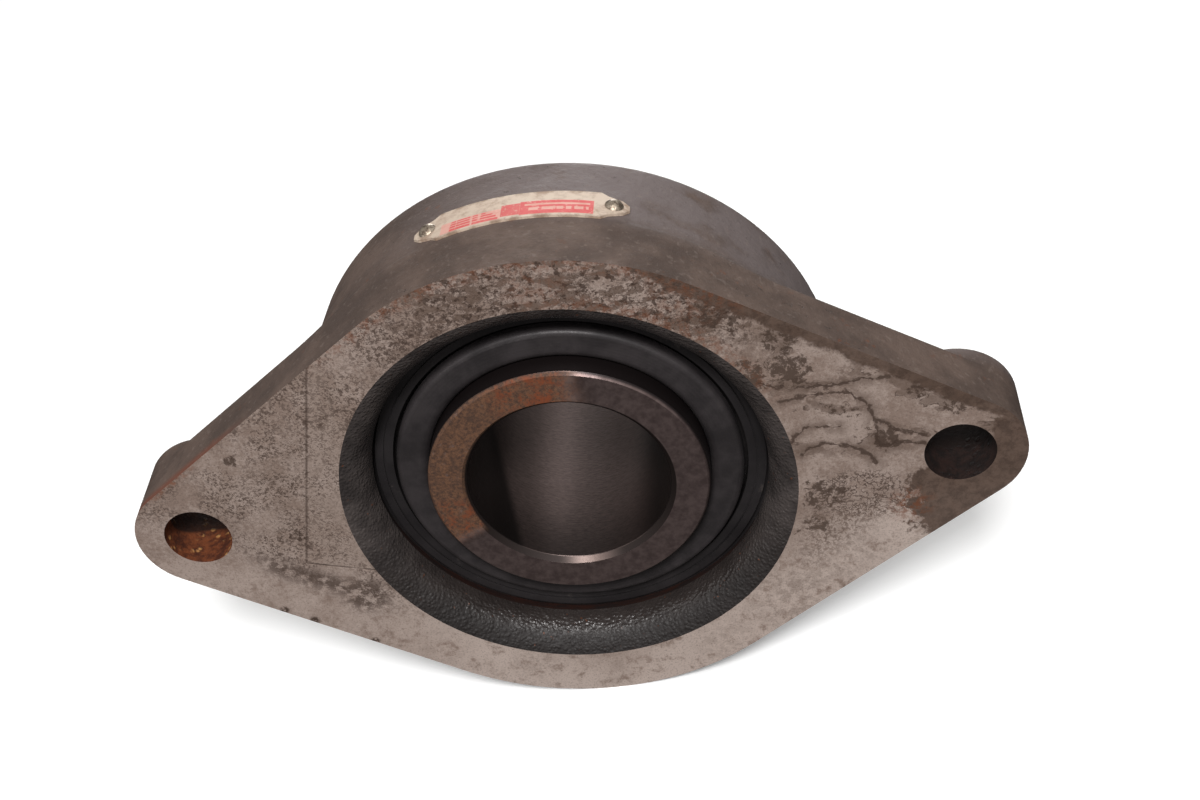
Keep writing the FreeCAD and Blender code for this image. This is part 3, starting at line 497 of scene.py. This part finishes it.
def mouth_lip():
    """The rolled lip of the mouth: black paint over rough casting, catching the light in points."""
    look = Look("mouth_lip", Metallic=0.1)
    clouds = look.noise(9, detail=4)
    look.base = look.mix(look.band(clouds, 0.35, 0.65), colour(54, 49, 48), colour(80, 73, 71))
    grain = look.noise(0.55, detail=2, roughness=0.6, shift=37)
    look.paint(look.product(look.band(grain, 0.5, 0.7), 0.35), colour(82, 75, 72))
    # Painted shade: the lip's lower part is darker, and its outer edge next to the face darker still.
    shaded_lower_part = look.band(look.z, -6, -30)
    look.paint(look.product(shaded_lower_part, 0.75), colour(37, 31, 29))
    shaded_outer_part = look.product(shaded_lower_part, look.band(look.y, 4.4, 1.4))
    look.paint(look.product(shaded_outer_part, 0.8), colour(25, 20, 19))
    rust = look.band(look.noise(1.1, detail=3, shift=91), 0.68, 0.74)
    look.paint(look.product(rust, 0.7), colour(104, 62, 40))
    pebbles = look.band(look.cells(0.7), 0.75, 0.1)
    look.raise_by(pebbles, 0.09)
    look.raise_by(grain, 0.1)
    look.raise_by(look.noise(1.4, detail=2, shift=15), 0.14)
    look.raise_by(look.noise(4.5, detail=2), 0.3)
    shine = look.band(grain, 0.3, 0.7, 0.38, 0.2)
    return look.finish(look.total(shine, look.product(shaded_outer_part, 0.35)))


def spherical_seat():
    """The seat that the outer ring swivels in: turned metal under a thin dark rust, made darker still as
    painted shade of the recess.
    """
    look = Look("spherical_seat", Metallic=0.2)
    clouds = look.noise(5, detail=5, roughness=0.65, place=look.stretched(1, 3, 1))
    look.base = look.mix(look.band(clouds, 0.36, 0.64), colour(26, 15, 13), colour(52, 28, 21))
    look.raise_by(look.noise(0.7, detail=3), 0.05)
    return look.finish(look.band(clouds, 0.3, 0.7, 0.7, 0.5))


def bolt_hole_wall():
    """The cored bolt holes: flaking orange rust on the left, dark brown on the right, and a painted shadow of
    the rim deep inside.
    """
    look = Look("bolt_hole_wall", Specular_IOR_Level=0.2)
    flakes = look.noise(2.2, detail=5, roughness=0.7)
    patches = look.band(flakes, 0.36, 0.64)
    crumbs = look.product(look.band(look.cells(1.7), 0.4, 0.2), look.band(look.noise(4, shift=9), 0.48, 0.58))
    orange = look.mix(patches, colour(66, 32, 19), colour(112, 60, 33))
    orange = look.mix(crumbs, orange, colour(170, 122, 74))
    brown = look.mix(patches, colour(22, 14, 12), colour(40, 25, 21))
    look.base = look.mix(look.band(look.x, -1, 1), orange, brown)
    # Painted shadow of the near rim deep in each hole: it begins deepest in the middle of the wall and nearer
    # the face towards the sides, with a ragged edge.
    from_middle = look.math("SUBTRACT", look.size_of(look.x), bolt_x)
    curve = look.product(from_middle, from_middle, 0.1)
    rim_shadow = look.band(look.total(look.y, curve, look.product(flakes, 1.5)), 9.4, 10.4)
    look.paint(look.product(rim_shadow, 0.85), colour(30, 19, 15))
    look.raise_by(flakes, 0.3)
    look.raise_by(crumbs, 0.25)
    return look.finish(0.85)


def outer_ring_steel():
    """Black-oxided bearing steel, polished enough to carry long soft highlights."""
    look = Look("outer_ring_steel", Metallic=0.5)
    turned = look.noise(2.4, detail=4, roughness=0.6, place=look.stretched(0.15, 1, 0.15))
    look.base = look.mix(look.band(turned, 0.3, 0.7), colour(46, 43, 44), colour(66, 62, 63))
    worn = look.band(look.noise(5, detail=5, roughness=0.7, shift=3), 0.62, 0.72)
    look.paint(look.product(worn, 0.5), colour(104, 96, 92))
    look.raise_by(look.noise(0.5, detail=2), 0.008)
    return look.finish(look.band(turned, 0.3, 0.7, 0.4, 0.3))


def flinger_steel():
    """The flingers' dark satin coating, with faint rings and dust."""
    look = Look("flinger_steel", Metallic=0.3)
    dust = look.noise(7, detail=5, roughness=0.6)
    look.base = look.mix(look.band(dust, 0.35, 0.65), colour(47, 43, 44), colour(66, 61, 62))
    rings = look.math("SINE", look.product(look.radius(), 9.0))
    look.raise_by(rings, 0.004)
    look.raise_by(look.noise(0.6, detail=2), 0.02)
    return look.finish(look.band(dust, 0.3, 0.7, 0.55, 0.42))


def bore_with_painted_shade(look):
    """The bore's colour: turned metal with streaks, with painted shade at its sides and near the rear rim,
    and a painted shadow wedge on the left.
    """
    turned = look.noise(1.2, detail=4, roughness=0.7, place=look.stretched(1, 6, 1))
    bore = look.mix(look.band(turned, 0.3, 0.7), colour(78, 66, 63), colour(106, 90, 86))
    streaks = look.noise(0.8, detail=3, roughness=0.7, shift=89, place=look.stretched(0.3, 3, 0.3))
    bore = look.mix(look.product(look.band(streaks, 0.6, 0.68), 0.5), bore, colour(52, 43, 41))
    # Painted shade: darker at the right side, a painted shadow wedge with a slanting edge on the left, and
    # darker near the rear rim.
    right_shade = look.band(look.x, 8, 16)
    left_shadow_wedge = look.band(look.total(look.x, look.product(look.y, 0.22)), -10.2, -12.0)
    rim_shade = look.band(look.y, inner_low.y + 16, inner_low.y + 2)
    lit = 1.0
    for shade, depth in ((right_shade, 0.9), (left_shadow_wedge, 0.9), (rim_shade, 0.5)):
        lit = look.product(lit, look.rest_of(look.product(shade, depth)))
    return look.mix(look.rest_of(lit), bore, colour(26, 21, 20))


def rust_arc(look):
    """Lays rust on the flat of the inner ring's rear face, from the left up to the top. Returns its share."""
    angle = look.math("ARCTAN2", look.z, look.product(look.x, -1))
    arc = look.product(look.band(angle, math.radians(-30), math.radians(-20)), look.band(look.x, 9, 1))
    arc = look.product(arc, look.band(look.y, inner_low.y + 0.7, inner_low.y + 0.3))
    patches = look.noise(2.6, detail=6, roughness=0.75, shift=47)
    fine = look.noise(0.7, detail=6, roughness=0.82, shift=59)
    thin = look.product(arc, look.band(patches, 0.24, 0.42), 0.95)
    look.paint(thin, look.mix(look.band(fine, 0.34, 0.66), colour(60, 40, 30), colour(112, 77, 53)))
    look.paint(look.product(arc, look.band(patches, 0.48, 0.68), 0.6), colour(64, 47, 39))
    strong = look.most(look.spot(-3, 23.5, 7.0, 0.5), look.spot(-22.5, -6, 5.0, 0.5))
    flaking = look.band(look.total(look.product(fine, 0.5), patches), 0.7, 0.92)
    strong = look.product(strong, arc, flaking, 0.9)
    look.paint(strong, colour(122, 60, 30))
    share = look.most(thin, strong)
    look.raise_by(look.product(patches, share), 0.08)
    return share


def inner_ring_steel():
    """Ground steel, freckles on the collar and rust on the rear face, with painted shade on the collar wall,
    bevel and bore, and a painted highlight on the bevel.
    """
    look = Look("inner_ring_steel", Metallic=0.75)
    ground = look.noise(1.6, detail=4, roughness=0.65, place=look.stretched(1, 0.2, 1))
    look.base = look.mix(look.band(ground, 0.3, 0.7), colour(98, 83, 81), colour(126, 109, 106))
    reach = look.radius()
    # Painted shade on the rear part of the collar's outer wall, between the flinger and the rear face.
    shaded_outer_wall = look.band(reach, collar_radius - 0.5, collar_radius - 0.1)
    look.paint(look.product(shaded_outer_wall, look.band(look.y, 34, 30)), colour(46, 39, 39))
    freckles = look.band(look.noise(1.4, detail=4, roughness=0.7, shift=71), 0.58, 0.66)
    look.paint(look.product(freckles, look.band(look.y, 30, 34), 0.7), colour(66, 49, 41))

    # The bevel is painted dark as shade and kept rough, except for a painted highlight at the bottom.
    bevel = look.band(reach, bore_radius + 1.08, bore_radius + 0.95)
    bevel_glint = look.product(look.near(look.x, 1, 7), look.band(look.z, 0, -12))
    look.paint(bevel, look.mix(bevel_glint, colour(46, 38, 36), colour(106, 91, 86)))
    in_bore = look.band(reach, bore_radius + 0.12, bore_radius + 0.04)
    look.paint(in_bore, bore_with_painted_shade(look))
    rust_share = rust_arc(look)
    look.feed(look.shader.inputs["Metallic"], look.band(rust_share, 0.1, 0.8, 0.75, 0.1))
    look.raise_by(look.noise(0.5, detail=2), 0.012)
    dull_bevel = look.product(bevel, look.rest_of(look.most(in_bore, bevel_glint)), 0.2)
    return look.finish(look.total(look.band(rust_share, 0.1, 0.8, 0.36, 0.75), dull_bevel))


def plain_surface(name, first, second, size, roughness, metallic, relief):
    """A small part's surface: two tones in clouds of the given size, with fine relief, in millimetres."""
    look = Look(name, Metallic=metallic)
    clouds = look.noise(size, detail=5, roughness=0.65)
    look.base = look.mix(look.band(clouds, 0.35, 0.65), first, second)
    look.raise_by(look.noise(size / 4, detail=3, shift=5), relief)
    low, high = roughness
    return look.finish(look.band(clouds, 0.3, 0.7, high, low))


def name_plate_print():
    """The curved plate: aged cream lacquer with red bars and a red panel, and no lettering."""
    look = Look("name_plate_print", Metallic=0.15)
    low, high = (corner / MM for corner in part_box("name_plate"))
    grime = look.noise(2.6, detail=5, roughness=0.7)
    look.base = look.mix(look.band(grime, 0.42, 0.7), colour(204, 186, 168), colour(172, 148, 130))
    across = look.math("SUBTRACT", look.y, (low.y + high.y) / 2)
    above_print = look.total(across, 0.6)

    def between(value, start, stop, soft=0.08):
        rising = look.band(value, start - soft, start + soft)
        return look.product(rising, look.band(value, stop + soft, stop - soft))

    def block(x_low, x_high, y_low, y_high):
        return look.product(between(look.x, x_low, x_high), between(above_print, y_low, y_high))

    # Rows of dashes on the left, a square in the middle, and a panel with a pale dashed stripe on the right.
    rows = look.most(
        block(-13.6, -3.2, -3.0, -2.3), block(-13.6, -3.6, -2.0, -1.4),
        block(-13.0, -4.2, -1.1, -0.6), block(-12.0, -5.6, -0.3, 0.1),
    )
    square = block(-2.8, 0.6, -2.6, 1.3)
    panel = block(0.6, 13.4, -2.9, 1.6)
    ground = look.most(block(-13.9, -2.8, -3.2, 0.3), panel)
    look.paint(look.product(ground, 0.6), colour(226, 150, 140))
    streaky = look.noise(0.7, detail=1, roughness=0.5, shift=27, place=look.stretched(1, 0.05, 0.05))
    dashes = look.band(streaky, 0.36, 0.42)
    stripes = look.most(look.product(block(2.2, 12.6, -1.6, -0.6), dashes), block(1.4, 12.8, 0.1, 0.7))
    red = look.most(square, look.product(panel, look.rest_of(stripes)), look.product(rows, dashes))
    worn = look.band(look.noise(0.8, detail=4, roughness=0.7, shift=13), 0.3, 0.45)
    look.paint(look.product(red, worn, 0.85), colour(206, 66, 70))

    # Brown stains creep in from the edges and round the screws.
    half = (high.y - low.y) / 2
    edge = look.band(look.size_of(across), half - 0.9, half - 0.1)
    tabs = look.band(look.size_of(look.x), high.x - 4.5, high.x - 1)
    stained = look.product(look.most(edge, tabs), look.band(grime, 0.4, 0.62), 0.55)
    look.paint(stained, colour(128, 102, 82))
    look.raise_by(grime, 0.03)
    look.raise_by(red, 0.01)
    return look.finish(look.band(grime, 0.3, 0.7, 0.4, 0.6))


def give(node_name, material):
    """Gives a whole CAD part one material."""
    mesh = nodes[node_name].data
    mesh.materials.clear()
    mesh.materials.append(material)


def mouth_radius(mesh):
    """How far from the shaft axis the flat mounting face begins, which is where the rolled lip ends."""
    flat = [vertex.co for vertex in mesh.vertices if abs(vertex.co.y) < 0.01 * MM]
    return min(math.hypot(co.x, co.z) for co in flat) / MM + 0.2


def dress_housing():
    """Gives each surface of the housing its own material, told apart by where its facets lie and face."""
    mesh = nodes["housing"].data
    mesh.materials.clear()
    for material in (cast_surface(), machined_face(), mouth_lip(), spherical_seat(), bolt_hole_wall()):
        mesh.materials.append(material)
    cast, face, lip, seat, hole = range(5)
    sphere_centre = Vector((0, sphere_y, 0))
    lip_end = mouth_radius(mesh)
    for polygon in mesh.polygons:
        centre = polygon.center / MM
        normal = polygon.normal
        reach = math.hypot(centre.x, centre.z)
        from_bolt = math.hypot(abs(centre.x) - bolt_x, centre.z)
        from_sphere = abs((centre - sphere_centre).length - sphere_radius)
        inward = normal.x * centre.x + normal.z * centre.z < -0.3 * reach
        # Each limit leaves some room, in millimetres, for flat facets on a round surface.
        polygon.material_index = cast
        if from_bolt < bolt_radius + 0.1 and abs(normal.y) < 0.5:
            polygon.material_index = hole
        elif from_sphere < 0.4 and reach < sphere_radius + 0.3:
            polygon.material_index = seat
        elif reach < lip_end and centre.y < outer_low.y and normal.y < 0.2:
            polygon.material_index = lip
        elif reach < sphere_radius + 0.5 and inward:
            polygon.material_index = seat
        elif centre.y < 0.05 and normal.y < -0.9:
            polygon.material_index = face


# The small parts' surfaces: two tones, the clouds' size, the lowest and highest roughness, how metallic
# it is, the relief, and the nodes that have it.
SMALL_PARTS = {
    "seal_rubber": (
        (24, 23, 24), (38, 36, 37), 4, (0.5, 0.7), 0.0, 0.02,
        ("seal_lip_rear", "seal_lip_front"),
    ),
    "seal_shell_steel": (
        (36, 33, 34), (56, 52, 52), 5, (0.35, 0.5), 0.6, 0.02,
        ("seal_shell_rear", "seal_shell_front"),
    ),
    "cage_steel": (
        (120, 114, 106), (150, 142, 132), 4, (0.3, 0.5), 0.8, 0.02,
        ("cage_rear", "cage_front", "cage_rivets"),
    ),
    "ball_steel": (
        (196, 194, 190), (214, 212, 208), 6, (0.08, 0.16), 1.0, 0.001,
        ("grease_check_ball", *(name for name in nodes if name.startswith("ball_"))),
    ),
    "black_screw": (
        (34, 31, 30), (58, 52, 49), 1.5, (0.35, 0.55), 0.6, 0.03,
        ("locking_pin", "set_screw_1", "set_screw_2"),
    ),
    "drive_screw_steel": (
        (104, 90, 78), (190, 176, 158), 0.8, (0.34, 0.54), 0.85, 0.05,
        ("drive_screw_left", "drive_screw_right"),
    ),
    "plated_fitting": (
        (150, 138, 112), (188, 176, 146), 2, (0.25, 0.45), 0.9, 0.02,
        ("grease_fitting",),
    ),
    "spring_wire": (
        (120, 116, 110), (160, 154, 146), 1, (0.25, 0.4), 0.9, 0.005,
        ("grease_spring",),
    ),
}


def dress_small_parts():
    """Gives the seals, cage, balls, screws and the grease fitting's pieces their materials."""
    for name, (first, second, size, roughness, metallic, relief, node_names) in SMALL_PARTS.items():
        material = plain_surface(name, colour(*first), colour(*second), size, roughness, metallic, relief)
        for node_name in node_names:
            give(node_name, material)


def make_valve_spring():
    """The grease valve's spring as a piece of its own, because it shortens when the ball is pushed in."""
    source = nodes["grease_spring"]
    piece = bpy.data.objects.new("valve_spring", source.data.copy())
    piece.matrix_world = source.matrix_world
    bpy.context.scene.collection.objects.link(piece)
    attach(piece, "housing")
    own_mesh(piece)
    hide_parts("grease_spring")


def make_floor():
    """A plain pale floor under the object, which casts no light or reflection back on it."""
    reach = 9.0
    level = cad_box[0].z
    mesh = bpy.data.meshes.new("floor")
    corners = [(x, y, level) for x, y in ((-reach, -reach), (reach, -reach), (reach, reach), (-reach, reach))]
    mesh.from_pydata(corners, [], [(0, 1, 2, 3)])
    floor = bpy.data.objects.new("floor", mesh)
    bpy.context.scene.collection.objects.link(floor)
    look = Look("floor_white", Emission_Color=(1, 1, 1, 1), Emission_Strength=0.14)
    look.base = look.mix(look.noise(900, detail=2), colour(250, 250, 250), colour(246, 246, 246))
    mesh.materials.append(look.finish(0.8))
    floor.visible_diffuse = False
    floor.visible_glossy = False


def towards(azimuth, elevation):
    """The direction from the object to a place round it, in radians: azimuth 0 faces the mounting face."""
    level = math.cos(elevation)
    return Vector((math.sin(azimuth) * level, -math.cos(azimuth) * level, math.sin(elevation)))


def make_light(name, azimuth, elevation, distance, size, power):
    """A soft square lamp aimed at the object from a direction round it, with its angles in degrees."""
    aim = towards(math.radians(azimuth), math.radians(elevation))
    lamp = bpy.data.lights.new(name, "AREA")
    lamp.shape = "SQUARE"
    lamp.size = size
    lamp.energy = power
    holder = bpy.data.objects.new(name, lamp)
    holder.location = aim * distance
    holder.rotation_mode = "QUATERNION"
    holder.rotation_quaternion = aim.to_track_quat("Z", "Y")
    bpy.context.scene.collection.objects.link(holder)


def make_world():
    """Soft light from a pale room: bright overhead and behind the camera, dim below and behind the object."""
    world = bpy.data.worlds.new("studio")
    world.use_nodes = True
    tree = world.node_tree
    direction = tree.nodes.new("ShaderNodeTexCoord").outputs["Generated"]
    split = tree.nodes.new("ShaderNodeSeparateXYZ")
    tree.links.new(direction, split.inputs[0])

    def ranged(value, low, high, start, end):
        node = tree.nodes.new("ShaderNodeMapRange")
        node.interpolation_type = "SMOOTHSTEP"
        tree.links.new(value, node.inputs[0])
        for index, number in enumerate((low, high, start, end), 1):
            node.inputs[index].default_value = number
        return node.outputs[0]

    product = tree.nodes.new("ShaderNodeMath")
    product.operation = "MULTIPLY"
    tree.links.new(ranged(split.outputs["Z"], -0.05, 0.05, 0.06, 0.54), product.inputs[0])
    tree.links.new(ranged(split.outputs["Y"], -0.5, 0.7, 1.0, 0.45), product.inputs[1])
    background = tree.nodes["Background"]
    background.inputs["Color"].default_value = (1.0, 0.985, 0.965, 1.0)
    tree.links.new(product.outputs[0], background.inputs["Strength"])
    bpy.context.scene.world = world


def make_camera():
    """The camera stands where it was fitted: round to the right, well above, and rolled to the left."""
    azimuth, elevation, roll = (math.radians(angle) for angle in (9.793, 37.610, -12.797))
    aim_x, aim_z, distance = 9.824 * MM, 21.536 * MM, 311.052 * MM
    back = towards(azimuth, elevation)
    level = Vector((0, 0, 1)).cross(back).normalized()
    upright = back.cross(level)
    right = level * math.cos(roll) + upright * math.sin(roll)
    up = upright * math.cos(roll) - level * math.sin(roll)
    place = Vector((aim_x, 0, aim_z)) + back * distance
    camera = bpy.data.cameras.new("camera")
    camera.lens = 52.74
    camera.sensor_width = 36.0
    camera.clip_start = 0.01
    camera.clip_end = 50.0
    holder = bpy.data.objects.new("camera", camera)
    turn = Matrix((right, up, back)).transposed()
    holder.matrix_world = Matrix.Translation(place) @ turn.to_4x4()
    bpy.context.scene.collection.objects.link(holder)
    bpy.context.scene.camera = holder


dress_housing()
give("outer_ring", outer_ring_steel())
give("inner_ring", inner_ring_steel())
give("name_plate", name_plate_print())
flinger = flinger_steel()
for end in ("rear", "front"):
    give(f"flinger_{end}", flinger)
dress_small_parts()
make_valve_spring()
make_floor()
make_world()
make_light("key", azimuth=8, elevation=52, distance=1.1, size=0.24, power=11.5)
make_light("fill", azimuth=-60, elevation=30, distance=1.4, size=0.8, power=2.5)
make_light("rim", azimuth=150, elevation=45, distance=1.3, size=0.8, power=2.0)
make_light("back", azimuth=183, elevation=6, distance=1.4, size=0.4, power=4.5)
make_camera()
bpy.context.scene.view_settings.view_transform = "Standard"
